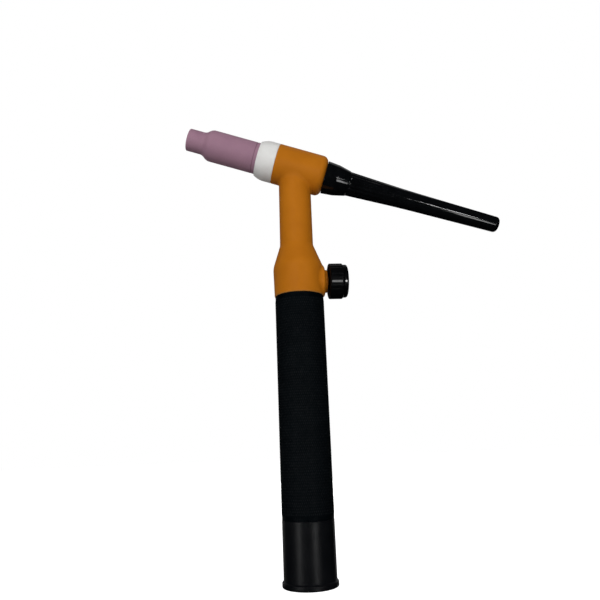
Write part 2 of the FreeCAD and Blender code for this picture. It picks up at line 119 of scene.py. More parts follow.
def outline(*corners, closed=True, arc_steps=8, longest=2.0):
    """Profile through (radius, height) corners; a third number rounds that corner.

    A rounded corner becomes an arc tangent to both of its sides: centre plus radius times the
    cosine and sine of an angle that runs evenly between the two tangent points. A side that is
    longer than the longest step gets a point close to each end and is then divided evenly.
    """
    flat = np.array([corner[:2] for corner in corners], float)
    points = []
    for index, corner in enumerate(corners):
        here = flat[index]
        if len(corner) == 2:
            points.append(here[None])
            continue
        before = flat[index - 1] - here
        after = flat[(index + 1) % len(corners)] - here
        before = before / np.linalg.norm(before)
        after = after / np.linalg.norm(after)
        half = math.acos(np.clip(before @ after, -1, 1)) / 2
        middle = before + after
        centre = here + middle / np.linalg.norm(middle) * corner[2] / math.sin(half)
        start = here + before * corner[2] / math.tan(half) - centre
        side = np.sign(start[1] * before[0] - start[0] * before[1])
        sweep = (math.pi - 2 * half) * side
        angles = math.atan2(start[1], start[0]) + np.linspace(0, 1, arc_steps + 1) * sweep
        points.append(centre + corner[2] * np.stack((np.cos(angles), np.sin(angles)), 1))
    points = np.concatenate(points)
    starts = points if closed else points[:-1]
    ends = np.roll(points, -1, 0) if closed else points[1:]
    runs = []
    for start, end in zip(starts, ends):
        length = np.linalg.norm(end - start)
        if length < SAME_POINT:
            continue
        shares = np.array((0.0,))
        if length > longest:
            near = CORNER_RUN / length
            inner = np.linspace(near, 1 - near, 2 + int(length / longest))
            shares = np.concatenate((shares, inner))
        runs.append(start + shares[:, None] * (end - start))
    if not closed:
        runs.append(points[-1:])
    return np.concatenate(runs)


def carried_round(profile, steps, place, swell=None):
    """Grid of points: profile point i turned by 2 pi j / steps about the place's axis.

    swell(radius, height, angle) may change the radius before it is turned.
    """
    angle = np.arange(steps)[None, :] * 2 * math.pi / steps
    radius = np.repeat(profile[:, :1], steps, 1)
    height = np.repeat(profile[:, 1:], steps, 1)
    if swell:
        radius = swell(radius, height, angle)
    return place.out(np.stack((radius * np.cos(angle), radius * np.sin(angle), height), -1))


def grid_faces(rows, columns, wrap):
    """Four-cornered faces between neighbouring rows and columns; columns always wrap round."""
    i, j = np.meshgrid(np.arange(rows if wrap else rows - 1), np.arange(columns), indexing="ij")
    above = (i + 1) % rows * columns
    beside = (j + 1) % columns
    corners = (i * columns + j, i * columns + beside, above + beside, above + j)
    return np.stack(corners, -1).reshape(-1, 4)


def mesh_of(name, points, faces, sharp=SHARP_ANGLE):
    """Mesh from points in mm and faces: doubled points are joined and the faces turned outwards.

    The enclosed volume, a sixth of the sum of each corner triple's box product, is negative when
    the faces point inwards, and then every face is turned round.
    """
    _, first, kept = np.unique(np.round(points, SAME_DECIMALS), axis=0,
                               return_index=True, return_inverse=True)
    points = points[first]
    faces = kept.reshape(-1)[faces]
    a, b, c, d = (points[faces[:, k]] for k in range(4))
    volume = sum(np.einsum("ij,ij->i", a, np.cross(*pair)).sum() for pair in ((b, c), (c, d)))
    if volume < 0:
        faces = faces[:, ::-1]
    same = faces == np.roll(faces, -1, 1)
    lists = faces[~same.any(1)].tolist()
    for k in range(4):
        lists += np.delete(faces[same[:, k]], k, 1).tolist()
    mesh = bpy.data.meshes.new(name)
    mesh.from_pydata((points * MM).tolist(), [], lists)
    mesh.shade_smooth()
    mesh.set_sharp_from_angle(angle=math.radians(sharp))
    return mesh


def turned_mesh(name, profile, steps, place, swell=None, closed=True):
    """Mesh of a profile carried round an axis."""
    grid = carried_round(profile, steps, place, swell)
    return mesh_of(name, grid.reshape(-1, 3), grid_faces(len(profile), steps, closed))


def piece(mesh, finish, body, slot, *nodes):
    """Puts a mesh in the scene as a piece that rides on a body and stands for CAD nodes."""
    made = bpy.data.objects.new(mesh.name, mesh)
    bpy.context.scene.collection.objects.link(made)
    mesh.materials.clear()
    mesh.materials.append(finish)
    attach(made, body)
    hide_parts(*nodes)


# ---- Materials ----

# Colours as linear red, green and blue; a pair is what the clouds run between
ORANGE = ((0.480, 0.152, 0.0050), (0.530, 0.172, 0.0065))
ORANGE_SPECKS = (0.36, 0.10, 0.006)
# Painted highlight on the silicone's thin rounded edges
ORANGE_EDGE_HIGHLIGHT = (0.70, 0.38, 0.12)
# Painted shade in the gap between the valve's boss and its knob
ORANGE_PAINTED_SHADE = (0.10, 0.032, 0.003)
PINK = ((0.350, 0.195, 0.268), (0.385, 0.220, 0.292))
PINK_SPECKS = (0.26, 0.13, 0.19)
PINK_LINE = (0.12, 0.055, 0.085)
WAX_WHITE = ((0.80, 0.79, 0.77), (0.86, 0.86, 0.84))
# Painted highlights on the valve knob: a grey band and a white dot
KNOB_HIGHLIGHT_WHITE = ((0.70, 0.70, 0.69), (0.85, 0.85, 0.84))
KNOB_HIGHLIGHT_GREY = ((0.10, 0.10, 0.10), (0.24, 0.24, 0.24))
CAP_BLACK = ((0.0020, 0.0023, 0.0028), (0.0040, 0.0044, 0.0052))
GRIP_BLACK = ((0.0006, 0.0016, 0.0024), (0.0010, 0.0022, 0.0032))
# Painted highlight on the knurl's points
GRIP_PAINTED_GLINT = (0.030, 0.033, 0.036)
BOOT_BLACK = ((0.0026, 0.0030, 0.0040), (0.0048, 0.0053, 0.0066))
KNOB_BLACK = ((0.0014, 0.0016, 0.0020), (0.0030, 0.0032, 0.0038))
SEAL_BLACK = ((0.008, 0.008, 0.009), (0.016, 0.016, 0.017))

# Metals: two colours and two roughnesses that the tarnish and the wear run between
BRASS = ((0.52, 0.34, 0.12), (0.66, 0.46, 0.18), 0.22, 0.36)
COPPER = ((0.50, 0.20, 0.11), (0.68, 0.31, 0.18), 0.24, 0.38)
TUNGSTEN = ((0.16, 0.16, 0.17), (0.24, 0.24, 0.25), 0.32, 0.46)
STEEL = ((0.42, 0.42, 0.43), (0.56, 0.56, 0.57), 0.24, 0.36)

CLOUD_START = 0.3               # part of a noise's range that clouds are taken from
CLOUD_END = 0.7
RIM_SEEN = 0.7                  # half width of the painted highlight on the silicone's thin edges, in mm
FRONT_SEEN = 0.6
SHADE_MIDDLE = 17.0             # middle of the painted shade on the valve boss's nose, along the valve's axis
SHADE_HALF = 1.9
SHADE_HEIGHT = 14.0             # half the shade's height on the handle
CUP_LINE = 3.8                  # cup's fine line, in front of its rear edge
CUP_LINE_SEEN = 0.45            # half width of the line's dark colour
GLINT_POWER = 4.0                       # how quickly the painted highlight on the knurl's points grows towards their tops


class Finish:
    """A material under construction: its surface shader and the nodes that feed it."""

    def __init__(self, name, specular=0.5, metallic=0.0):
        self.material = bpy.data.materials.new(name)
        self.material.use_nodes = True
        self.tree = self.material.node_tree
        self.surface = self.tree.nodes["Principled BSDF"]
        self.surface.inputs["Metallic"].default_value = metallic
        self.surface.inputs["Specular IOR Level"].default_value = specular
        self.points = self.add("ShaderNodeTexCoord").outputs["Object"]

    def add(self, kind, settings=None, inputs=None):
        """New node with its settings, and its inputs set to values or linked to sockets."""
        node = self.tree.nodes.new(kind)
        for key, value in (settings or {}).items():
            setattr(node, key, value)
        for key, value in (inputs or {}).items():
            if isinstance(value, bpy.types.NodeSocket):
                self.tree.links.new(value, node.inputs[key])
            else:
                node.inputs[key].default_value = value
        return node

    def noise(self, size, detail, stretch=(1, 1, 1)):
        """Cloudy noise whose features are about size mm across, times stretch."""
        shrink = tuple(1 / (size * MM * k) for k in stretch)
        mapped = self.add("ShaderNodeMapping", inputs={0: self.points, 3: shrink}).outputs[0]
        inputs = {"Vector": mapped, "Scale": 1.0, "Detail": detail}
        return self.add("ShaderNodeTexNoise", inputs=inputs).outputs[0]

    def clouds(self, size, detail, low=0.0, high=1.0, stretch=(1, 1, 1)):
        """Noise whose middle part is carried to low..high."""
        noise = self.noise(size, detail, stretch)
        inputs = {"Value": noise, "From Min": CLOUD_START, "From Max": CLOUD_END,
                  "To Min": low, "To Max": high}
        return self.add("ShaderNodeMapRange", inputs=inputs).outputs[0]

    def along(self, place):
        """Distance along a place's axis, in metres."""
        offset = self.add("ShaderNodeVectorMath", {"operation": "SUBTRACT"},
                          {0: self.points, 1: tuple(place.base * MM)}).outputs[0]
        return self.add("ShaderNodeVectorMath", {"operation": "DOT_PRODUCT"},
                        {0: offset, 1: tuple(place.turn[2])}).outputs[1]

    def band(self, distance, middle, half):
        """1 where a distance is at a middle, falling evenly to 0 a half width away, both in mm."""
        off = self.maths("ABSOLUTE", self.maths("SUBTRACT", distance, middle * MM))
        return self.maths("SUBTRACT", 1.0, self.maths("DIVIDE", off, half * MM), clamp=True)

    def maths(self, operation, first, second=0.0, third=0.0, clamp=False):
        """One arithmetic step."""
        settings = {"operation": operation, "use_clamp": clamp}
        return self.add("ShaderNodeMath", settings, {0: first, 1: second, 2: third}).outputs[0]

    def between(self, share, first, second):
        """Colour between two colours."""
        made = self.add("ShaderNodeMix", {"data_type": "RGBA"})
        self.tree.links.new(share, made.inputs[0])
        for index, colour in ((6, first), (7, second)):
            if isinstance(colour, bpy.types.NodeSocket):
                self.tree.links.new(colour, made.inputs[index])
            else:
                made.inputs[index].default_value = (*colour, 1)
        return made.outputs[2]

    def colour(self, socket):
        self.tree.links.new(socket, self.surface.inputs["Base Color"])

    def roughness(self, socket):
        self.tree.links.new(socket, self.surface.inputs["Roughness"])

    def bumps(self, *layers):
        """Bumps stacked one on another; each layer is a height from 0 to 1 and its depth in mm."""
        normal = None
        for height, depth in layers:
            inputs = {"Height": height, "Distance": depth * MM, "Strength": 1.0}
            if normal:
                inputs["Normal"] = normal
            normal = self.add("ShaderNodeBump", inputs=inputs).outputs[0]
        self.tree.links.new(normal, self.surface.inputs["Normal"])


def silicone():
    """Orange silicone rubber: faint clouds and specks, a satin skin, a painted highlight on thin
    edges.

    The nose of the valve's boss, in the knob's gap, is darker: painted shade.
    """
    made = Finish("silicone", specular=0.15)
    base = made.between(made.clouds(14, 2), *ORANGE)
    base = made.between(made.maths("MULTIPLY", made.clouds(0.8, 2), 0.10), base, ORANGE_SPECKS)
    up = made.along(HANDLE)
    # Painted shade on the boss's nose, in the knob's gap
    nose = made.maths("MULTIPLY", made.band(made.along(VALVE), SHADE_MIDDLE, SHADE_HALF),
                      made.band(up, VALVE.base[2], SHADE_HEIGHT))
    base = made.between(made.maths("MULTIPLY", nose, 0.95), base, ORANGE_PAINTED_SHADE)
    # Painted highlight: pale bands on the collar's rim and the head's front edge
    rim = made.band(up, grip_high, RIM_SEEN)
    front = made.band(made.along(HEAD), ring_back, FRONT_SEEN)
    edge_highlight = made.maths("MULTIPLY", made.maths("MAXIMUM", rim, front), 0.55)
    made.colour(made.between(edge_highlight, base, ORANGE_EDGE_HIGHLIGHT))
    made.roughness(made.clouds(5, 3, 0.50, 0.60))
    made.bumps((made.noise(0.35, 2), 0.018), (made.noise(9, 1), 0.10))
    return made.material


def alumina():
    """Pink alumina: unglazed, slightly mottled, with a fine sintered grain and a dark line."""
    made = Finish("alumina", specular=0.3)
    base = made.between(made.clouds(7, 3), *PINK)
    base = made.between(made.maths("MULTIPLY", made.clouds(0.45, 2), 0.22), base, PINK_SPECKS)
    line = made.band(made.along(HEAD), cup_back - CUP_LINE, CUP_LINE_SEEN)
    made.colour(made.between(made.maths("MULTIPLY", line, 0.6), base, PINK_LINE))
    made.roughness(made.clouds(1.2, 3, 0.50, 0.66))
    made.bumps((made.noise(0.25, 3), 0.020), (made.noise(3, 1), 0.03))
    return made.material


def turned_rings(finish, place, pitch):
    """Height of the rings that turning leaves round an axis: a sine along it, broken by noise."""
    wobble = finish.maths("MULTIPLY", finish.noise(6, 1), pitch * MM * 1.5)
    reach = finish.maths("ADD", finish.along(place), wobble)
    phase = finish.maths("MULTIPLY", reach, 2 * math.pi / (pitch * MM))
    return finish.maths("MULTIPLY_ADD", finish.maths("SINE", phase), 0.5, 0.5)


def ptfe():
    """White PTFE: waxy, with faint turning rings."""
    made = Finish("ptfe", specular=0.45)
    made.colour(made.between(made.clouds(5, 2), *WAX_WHITE))
    made.roughness(made.clouds(1.5, 2, 0.30, 0.42))
    made.bumps((turned_rings(made, HEAD, 0.35), 0.004), (made.noise(2.5, 2), 0.03))
    return made.material


def grip_plastic():
    """Black moulded plastic: dark between the knurl's points, which carry a painted highlight,
    greyer towards their tops.
    """
    made = Finish("grip_plastic", specular=0.08)
    points = made.add("ShaderNodeAttribute", {"attribute_name": "knurl"}).outputs["Fac"]
    # Painted highlight on the knurl's points, uneven in clouds
    painted_glint = made.maths("MULTIPLY", made.maths("POWER", points, GLINT_POWER), made.clouds(6, 3, 0.6, 1.0))
    base = made.between(made.clouds(9, 2), *GRIP_BLACK)
    made.colour(made.between(painted_glint, base, GRIP_PAINTED_GLINT))
    made.roughness(made.clouds(2.5, 3, 0.42, 0.55))
    made.bumps((made.noise(0.3, 2), 0.010))
    return made.material


def turned_metal(name, place, low, high, smooth, rough, pitch=0.3):
    """Turned metal: rings round its axis, uneven tarnish and small handling marks."""
    made = Finish(name, metallic=1.0)
    rings = turned_rings(made, place, pitch)
    made.colour(made.between(made.clouds(4, 4), low, high))
    made.roughness(made.maths("MULTIPLY_ADD", rings, 0.06, made.clouds(1.0, 3, smooth, rough)))
    made.bumps((rings, 0.004), (made.noise(0.6, 3), 0.006))
    return made.material


def moulded(name, specular, tint, shine, *grains):
    """Plain moulded or painted skin: clouds in its colour and in its gloss, and a grain.

    tint is the clouds' size and detail, the two colours and perhaps a stretch; shine is the
    clouds' size and detail and the two roughnesses; a grain is its size, detail and depth in mm.
    """
    made = Finish(name, specular)
    size, detail, low, high, *stretch = tint
    made.colour(made.between(made.clouds(size, detail, 0.0, 1.0, *stretch), low, high))
    made.roughness(made.clouds(*shine))
    made.bumps(*((made.noise(*grain), depth) for *grain, depth in grains))
    return made.material


def highlight_mark(name, pair):
    """Painted highlight laid on as a thin mark, slightly uneven."""
    return moulded(name, 0.4, (0.5, 3, *pair), (0.8, 2, 0.38, 0.55), (0.25, 2, 0.012))


# Glossy black with faint flow marks and a little orange peel
phenolic = moulded("phenolic", 0.5, (5, 4, *CAP_BLACK, (1, 1, 3)), (4, 4, 0.07, 0.12),
                   (2.2, 1, 0.006), (0.5, 2, 0.0012))
# Satin black with a very fine grain
boot_plastic = moulded("boot_plastic", 0.4, (9, 3, *BOOT_BLACK), (3, 4, 0.36, 0.44),
                       (0.22, 2, 0.006), (7, 1, 0.02))
# Semi-matte black with a fine spark texture
knob_plastic = moulded("knob_plastic", 0.16, (3, 3, *KNOB_BLACK), (1.2, 3, 0.30, 0.45),
                       (0.3, 2, 0.010))
# Black nitrile rubber with a faint bloom
seal_rubber = moulded("seal_rubber", 0.35, (1.5, 3, *SEAL_BLACK), (0.8, 2, 0.45, 0.6),
                      (0.3, 2, 0.008))

carried_over = {
    turned_metal("brass_head", HEAD, *BRASS): ("head_body", "back_cap_insert", "collet_body"),
    turned_metal("brass_valve", VALVE, *BRASS): ("valve_gland", "valve_stem"),
    turned_metal("brass_handle", HANDLE, *BRASS): ("valve_body", "cable_stud"),
    turned_metal("copper_head", HEAD, *COPPER): ("collet",),
    turned_metal("copper_handle", HANDLE, *COPPER): ("neck_tube", "stud_washer"),
    turned_metal("tungsten", HEAD, *TUNGSTEN, pitch=0.12): ("tungsten_electrode",),
    turned_metal("screw_steel", VALVE, *STEEL): ("knob_screw",),
    seal_rubber: ("back_cap_o_ring", "valve_stem_o_ring"),
    # The knob's index bar and dot carry painted highlights
    highlight_mark("index_grey", KNOB_HIGHLIGHT_GREY): ("knob_index_bar",),
    highlight_mark("index_white", KNOB_HIGHLIGHT_WHITE): ("knob_index_dot",),
}
for finish, names in carried_over.items():
    for name in names:
        slots = frame["nodes"][name].data.materials
        slots.clear()
        slots.append(finish)


# ---- Insulating cover ----

FACE_GAP = 0.05                 # between faces that meet
METAL_GAP = 0.03                # between the cover and the metal inside it
COLLAR_LENGTH = 18.1
COLLAR_RIM = grip_radius + 0.2
COLLAR_TOP = COLLAR_RIM + 0.4
COLLAR_RIM_ROUNDING = 0.7
COLLAR_TOP_ROUNDING = 12.0
FLARE_LENGTH = 14.4
FLARE_ROUNDING = 6.0
NECK = 10.2
NECK_TOP = NECK - 0.3
NECK_ASIDE = 0.5                # neck's middle off the handle's axis, towards the cup
HEAD_ASIDE = 0.3                # share of that which is left at the head
HEAD_SIDE = ring_radius + FACE_GAP
HEAD_REAR_ROUNDING = 4.0
HEAD_FRONT_ROUNDING = 0.5
BOSS = 9.5
BOSS_REACH = 15.6
BOSS_ROUNDING = 1.4
NOSE = 7.0
NOSE_REACH = 17.2
NOSE_ROUNDING = 0.4
CREASE = 1.2                    # fillet where the head and the boss meet the stalk
NOSE_CREASE = 0.3
ROOM_HEAD = 8.23                # rooms for the metal and the cap inside the cover
ROOM_CAP = 9.05
ROOM_NECK = 6.03
ROOM_BODY = 9.03
ROOM_NOSE = 5.93
PAST_COLLAR = 5                 # stalk's line runs on past the collar's rim and the head's axis
PAST_HEAD = 10
REAR_INSIDE = 2.0               # cover's rear face is found this far inside the head's side

COVER_VOXEL = 0.45              # size of the cover's mesh
DRAWN_TIMES = 6                 # times that each point is moved towards the shape
SLOPE_STEP = 0.01
LEAST_SLOPE = 0.25              # of the squared slope that a distance is divided by
LONGEST_MOVE = 0.3
COVER_SHARP = 50

collar_low = grip_high + FACE_GAP
collar_top = collar_low + COLLAR_LENGTH
flare_top = collar_top + FLARE_LENGTH
head_height = HEAD.base[2]
head_front = ring_back + FACE_GAP
metal_rear = metal_end + METAL_GAP
body_top = body_end + METAL_GAP
cover_points = HEAD.back(corners_of("insulating_cover"))
near_axis = np.hypot(cover_points[:, 0], cover_points[:, 1]) < HEAD_SIDE - REAR_INSIDE
cover_rear = cover_points[near_axis, 2].max()
stalk_line = outline(
    (COLLAR_RIM, collar_low - PAST_COLLAR),
    (COLLAR_RIM, collar_low),
    (COLLAR_TOP, collar_top, COLLAR_TOP_ROUNDING),
    (NECK, flare_top, FLARE_ROUNDING),
    (NECK_TOP, head_height + PAST_HEAD),
    closed=False, arc_steps=24,
)


def joined(a, b, radius):
    """Distance to two shapes joined with a fillet of that radius between them."""
    corner = np.hypot(np.maximum(radius - a, 0), np.maximum(radius - b, 0))
    return np.maximum(radius, np.minimum(a, b)) - corner


def shared(a, b, radius):
    """Distance to what two shapes share, with its edge rounded to that radius."""
    corner = np.hypot(np.maximum(radius + a, 0), np.maximum(radius + b, 0))
    return np.minimum(-radius, np.maximum(a, b)) + corner


def cover_distance(points):
    """Signed distance in mm to the cover: a turned stalk, a tilted head and a stepped boss.

    Each is a distance to its side shared with the distances to its end planes. They are joined
    with fillets, and the rooms for the metal are taken out.
    """
    x, y, z = points.T
    radius = np.interp(z, stalk_line[:, 1], stalk_line[:, 0])
    lean = np.interp(z, stalk_line[:, 1], np.gradient(stalk_line[:, 0], stalk_line[:, 1]))
    aside = NECK_ASIDE * np.interp(z, (collar_top, flare_top, head_height), (0, 1, HEAD_ASIDE))
    stalk = (np.hypot(x + aside, y) - radius) / np.hypot(1, lean)
    stalk = shared(stalk, collar_low - z, COLLAR_RIM_ROUNDING)
    stalk = np.maximum(stalk, z - head_height)
    across = HEAD.back(points)
    reach = np.hypot(across[:, 0], across[:, 1])
    head = shared(reach - HEAD_SIDE, across[:, 2] - cover_rear, HEAD_REAR_ROUNDING)
    head = shared(head, head_front - across[:, 2], HEAD_FRONT_ROUNDING)
    beside = VALVE.back(points)
    far = np.hypot(beside[:, 0], beside[:, 1])
    boss = shared(far - BOSS, beside[:, 2] - BOSS_REACH, BOSS_ROUNDING)
    nose = shared(far - NOSE, beside[:, 2] - NOSE_REACH, NOSE_ROUNDING)
    whole = joined(stalk, head, CREASE)
    whole = joined(whole, np.maximum(boss, -beside[:, 2]), CREASE)
    whole = joined(whole, np.maximum(nose, -beside[:, 2]), NOSE_CREASE)
    around = np.hypot(x, y)
    rooms = (
        np.maximum(reach - ROOM_HEAD, across[:, 2] - metal_rear),
        np.maximum(reach - ROOM_CAP, metal_rear - METAL_GAP - across[:, 2]),
        np.maximum(around - ROOM_NECK, z - head_height),
        np.maximum(around - ROOM_BODY, z - body_top),
        np.maximum(far - ROOM_NOSE, -beside[:, 2]),
    )
    for room in rooms:
        whole = np.maximum(whole, -room)
    return whole


def cover_mesh():
    """The cover's CAD mesh, joined up, given an even skin and then drawn onto the exact shape.

    Each point moves against the distance's gradient by the distance over the gradient's squared
    length, a few times over; the gradient comes from small steps along x, y and z.
    """
    base = frame["nodes"]["insulating_cover"].data.copy()
    build = bmesh.new()
    build.from_mesh(base)
    bmesh.ops.remove_doubles(build, verts=build.verts, dist=SAME_POINT)
    build.to_mesh(base)
    build.free()
    rough = bpy.data.objects.new("rough_cover", base)
    bpy.context.scene.collection.objects.link(rough)
    skin = rough.modifiers.new("skin", "REMESH")
    skin.mode = "VOXEL"
    skin.voxel_size = COVER_VOXEL * MM
    seen = rough.evaluated_get(bpy.context.evaluated_depsgraph_get())
    mesh = bpy.data.meshes.new_from_object(seen)
    bpy.data.objects.remove(rough)
    points = points_of(mesh)
    for _ in range(DRAWN_TIMES):
        distance = cover_distance(points)
        slope = np.stack([cover_distance(points + move) - cover_distance(points - move)
                          for move in np.eye(3) * SLOPE_STEP], 1) / (2 * SLOPE_STEP)
        squared = np.maximum((slope ** 2).sum(1), LEAST_SLOPE)
        move = slope * (distance / squared)[:, None]
        points -= np.clip(move, -LONGEST_MOVE, LONGEST_MOVE)
    mesh.vertices.foreach_set("co", (points * MM).astype(np.float32).reshape(-1))
    mesh.update()
    mesh.name = "cover"
    mesh.shade_smooth()
    mesh.set_sharp_from_angle(angle=math.radians(COVER_SHARP))
    return mesh


piece(cover_mesh(), silicone(), "torch", "silicone", "insulating_cover")


# ---- Gas cup and insulator ----

CUP_TIP = 7.05
CUP_TIP_LENGTH = 10.6
CUP_TIP_ROUNDINGS = (0.5, 0.6)
CUP_STEP_LENGTH = 3.6
CUP_STEP_ROUNDING = 5.0
CUP_BACK_ROUNDING = 0.9
CUP_LINE_HALF = 0.35
CUP_LINE_DEPTH = 0.3
CUP_LINE_ROUNDINGS = (0.3, 0.2)
CUP_THREAD = 6.58
CUP_THREAD_LENGTH = 15.5
CUP_CHAMBER = 5.9
CUP_THROAT = 4.0
CUP_THROAT_LENGTH = 10.0
CUP_THROAT_CONE = 4.8

RING_CUP_GAP = 0.25
RING_RECESS = cup_radius + RING_CUP_GAP
RING_FRONT = cup_radius + 0.95
RING_EDGE_ROUNDING = 0.3
RING_SWELL_LENGTH = 3.93        # from the front to where the ring is at its widest
RING_SWELL_ROUNDING = 12.0
RING_SOCKET = 8.25
RING_SOCKET_DEPTH = 5.95
RING_BORE = 6.9

CUP_STEPS = 128                 # round the cup and the ring


def cup_mesh():
    """Cup's profile turned about the head's axis, with a fine line near its rear edge."""
    step_start = cup_tip + CUP_TIP_LENGTH
    throat_end = cup_tip + CUP_THROAT_LENGTH
    shoulder = cup_back - CUP_THREAD_LENGTH
    line = cup_back - CUP_LINE
    profile = outline(
        (CUP_THROAT, cup_tip, CUP_TIP_ROUNDINGS[0]),
        (CUP_TIP, cup_tip, CUP_TIP_ROUNDINGS[1]),
        (CUP_TIP, step_start, CUP_STEP_ROUNDING),
        (cup_radius, step_start + CUP_STEP_LENGTH, CUP_STEP_ROUNDING),
        (cup_radius, line - CUP_LINE_HALF, CUP_LINE_ROUNDINGS[0]),
        (cup_radius - CUP_LINE_DEPTH, line, CUP_LINE_ROUNDINGS[1]),
        (cup_radius, line + CUP_LINE_HALF, CUP_LINE_ROUNDINGS[0]),
        (cup_radius, cup_back, CUP_BACK_ROUNDING),
        (CUP_THREAD, cup_back),
        (CUP_THREAD, shoulder),
        (CUP_CHAMBER, shoulder),
        (CUP_CHAMBER, throat_end + CUP_THROAT_CONE),
        (CUP_THROAT, throat_end),
    )
    return turned_mesh("gas_cup", profile, CUP_STEPS, HEAD)


def insulator_mesh():
    """Insulator's barrel profile turned about the head's axis."""
    recess_end = cup_back + RING_CUP_GAP
    socket_end = ring_back - RING_SOCKET_DEPTH
    profile = outline(
        (RING_RECESS, ring_front),
        (RING_FRONT, ring_front, RING_EDGE_ROUNDING),
        (ring_radius, ring_front + RING_SWELL_LENGTH, RING_SWELL_ROUNDING),
        (ring_radius, ring_back, RING_EDGE_ROUNDING),
        (RING_SOCKET, ring_back),
        (RING_SOCKET, socket_end),
        (RING_BORE, socket_end),
        (RING_BORE, recess_end),
        (RING_RECESS, recess_end),
    )
    return turned_mesh("cup_insulator", profile, CUP_STEPS, HEAD)


piece(cup_mesh(), alumina(), "cup", "alumina", "gas_cup")
piece(insulator_mesh(), ptfe(), "cup_ring", "ptfe", "cup_insulator")


# ---- Back cap ----

CAP_NOSE = 0.75                 # cap's nose inside the cover
CAP_NOSE_RADIUS = 8.8
CAP_FLANGE_ROUNDING = 0.4
CAP_CONE = 9.75
CAP_CONE_LENGTH = 7.7
CAP_CONE_ROUNDING = 6.0
CAP_SHOULDER = 8.0
CAP_SHOULDER_LENGTH = 15.3
CAP_ROOT = 7.7
CAP_ROOT_ROUNDING = 0.3
CAP_WAIST = 6.05
CAP_WAIST_LENGTH = 53.0
CAP_WAIST_ROUNDING = 900.0
CAP_TAIL = 5.0
CAP_TAIL_ROUNDING = 2.3
CAP_INSERT = 5.63               # room for the brass insert
CAP_BORE = 2.5
CAP_CLOSED_LENGTH = 5.0         # solid end behind the bore
CAP_STEPS = 192
CAP_ARC_STEPS = 12
CAP_LONGEST_STEP = 1.2

FLUTES = 16                     # round the back cap
FLUTE_DEPTH = 0.5
FLUTE_START = 0.5               # behind the shoulder
FLUTE_RISE = 1.2                # length over which a flute reaches its depth
FLUTE_INSIDE = 5.6              # radius inside which nothing is fluted

cap_face = cap_low + CAP_NOSE
cap_root = cap_face + CAP_SHOULDER_LENGTH


def cap_swell(radius, height, angle):
    """Flutes: the radius drops by a rounded scallop of the angle, deepest behind the shoulder.

    The scallop is the square of a cosine raised to run from 0 to 1, so that the ribs are wide
    and the lines between them narrow; it fades out evenly towards the waist.
    """
    past = height - cap_face - CAP_SHOULDER_LENGTH
    share = past / (CAP_WAIST_LENGTH - CAP_SHOULDER_LENGTH)
    fade = np.clip((past - FLUTE_START) / FLUTE_RISE, 0, 1) * np.clip(1 - share, 0, 1)
    scallop = 0.5 + 0.5 * np.cos(FLUTES * angle)
    return radius - (radius > FLUTE_INSIDE) * FLUTE_DEPTH * fade * scallop ** 2


def cap_mesh():
    """Cap's profile turned about the head's axis, with flutes behind the shoulder."""
    bore_end = cap_end - CAP_CLOSED_LENGTH
    profile = outline(
        (0, bore_end),
        (CAP_BORE, bore_end),
        (CAP_BORE, insert_end),
        (CAP_INSERT, insert_end),
        (CAP_INSERT, cap_low),
        (CAP_NOSE_RADIUS, cap_low),
        (CAP_NOSE_RADIUS, cap_face),
        (cap_flange, cap_face, CAP_FLANGE_ROUNDING),
        (CAP_CONE, cap_face + CAP_CONE_LENGTH, CAP_CONE_ROUNDING),
        (CAP_SHOULDER, cap_root, CAP_ROOT_ROUNDING),
        (CAP_ROOT, cap_root + CAP_ROOT_ROUNDING, CAP_ROOT_ROUNDING),
        (CAP_WAIST, cap_face + CAP_WAIST_LENGTH, CAP_WAIST_ROUNDING),
        (CAP_TAIL, cap_end, CAP_TAIL_ROUNDING),
        (0, cap_end),
        closed=False, arc_steps=CAP_ARC_STEPS, longest=CAP_LONGEST_STEP,
    )
    return turned_mesh("back_cap", profile, CAP_STEPS, HEAD, cap_swell, closed=False)


piece(cap_mesh(), phenolic, "cap", "phenolic", "back_cap")


# ---- Valve knob ----

KNOB_SIDE = knob_radius - 0.05
KNOB_DRUM_LENGTH = 7.9
KNOB_ROUNDING = 0.6             # drum's edges
KNOB_STEP_RISE = 0.6            # of the slope from the drum to the end
KNOB_STEP_ROUNDING = 0.4
KNOB_END = 10.1
KNOB_END_LENGTH = 3.1
KNOB_END_ROUNDING = 1.2
KNOB_DOME_SHARE = 0.6           # of the end's radius, where the dome's corner is
KNOB_DOME = 0.7                 # dome's rise at that corner
KNOB_DOME_TOP = 0.85            # dome's rise at the recess
KNOB_DOME_ROUNDING = 8.0
KNOB_RECESS = 2.8               # recess of the screw's head
KNOB_RECESS_DEPTH = 1.65
KNOB_RECESS_ROUNDING = 0.2
KNOB_BORE = 2.25
KNOB_STEPS = 192
KNOB_LONGEST_STEP = 1.5
KNOB_FLUTES = 24
KNOB_FLUTE_DEPTH = 0.22
KNOB_FLUTE_RADIUS = KNOB_END + 0.3      # radius outside which the drum is fluted

knob_step = knob_face + KNOB_DRUM_LENGTH


def knob_swell(radius, height, angle):
    """Flutes on the drum: the radius drops by the cube of a cosine raised to run from 0 to 1."""
    drum = (radius > KNOB_FLUTE_RADIUS) & (height < knob_step)
    scallop = 0.5 - 0.5 * np.cos(KNOB_FLUTES * angle)
    return radius - drum * KNOB_FLUTE_DEPTH * scallop ** 3


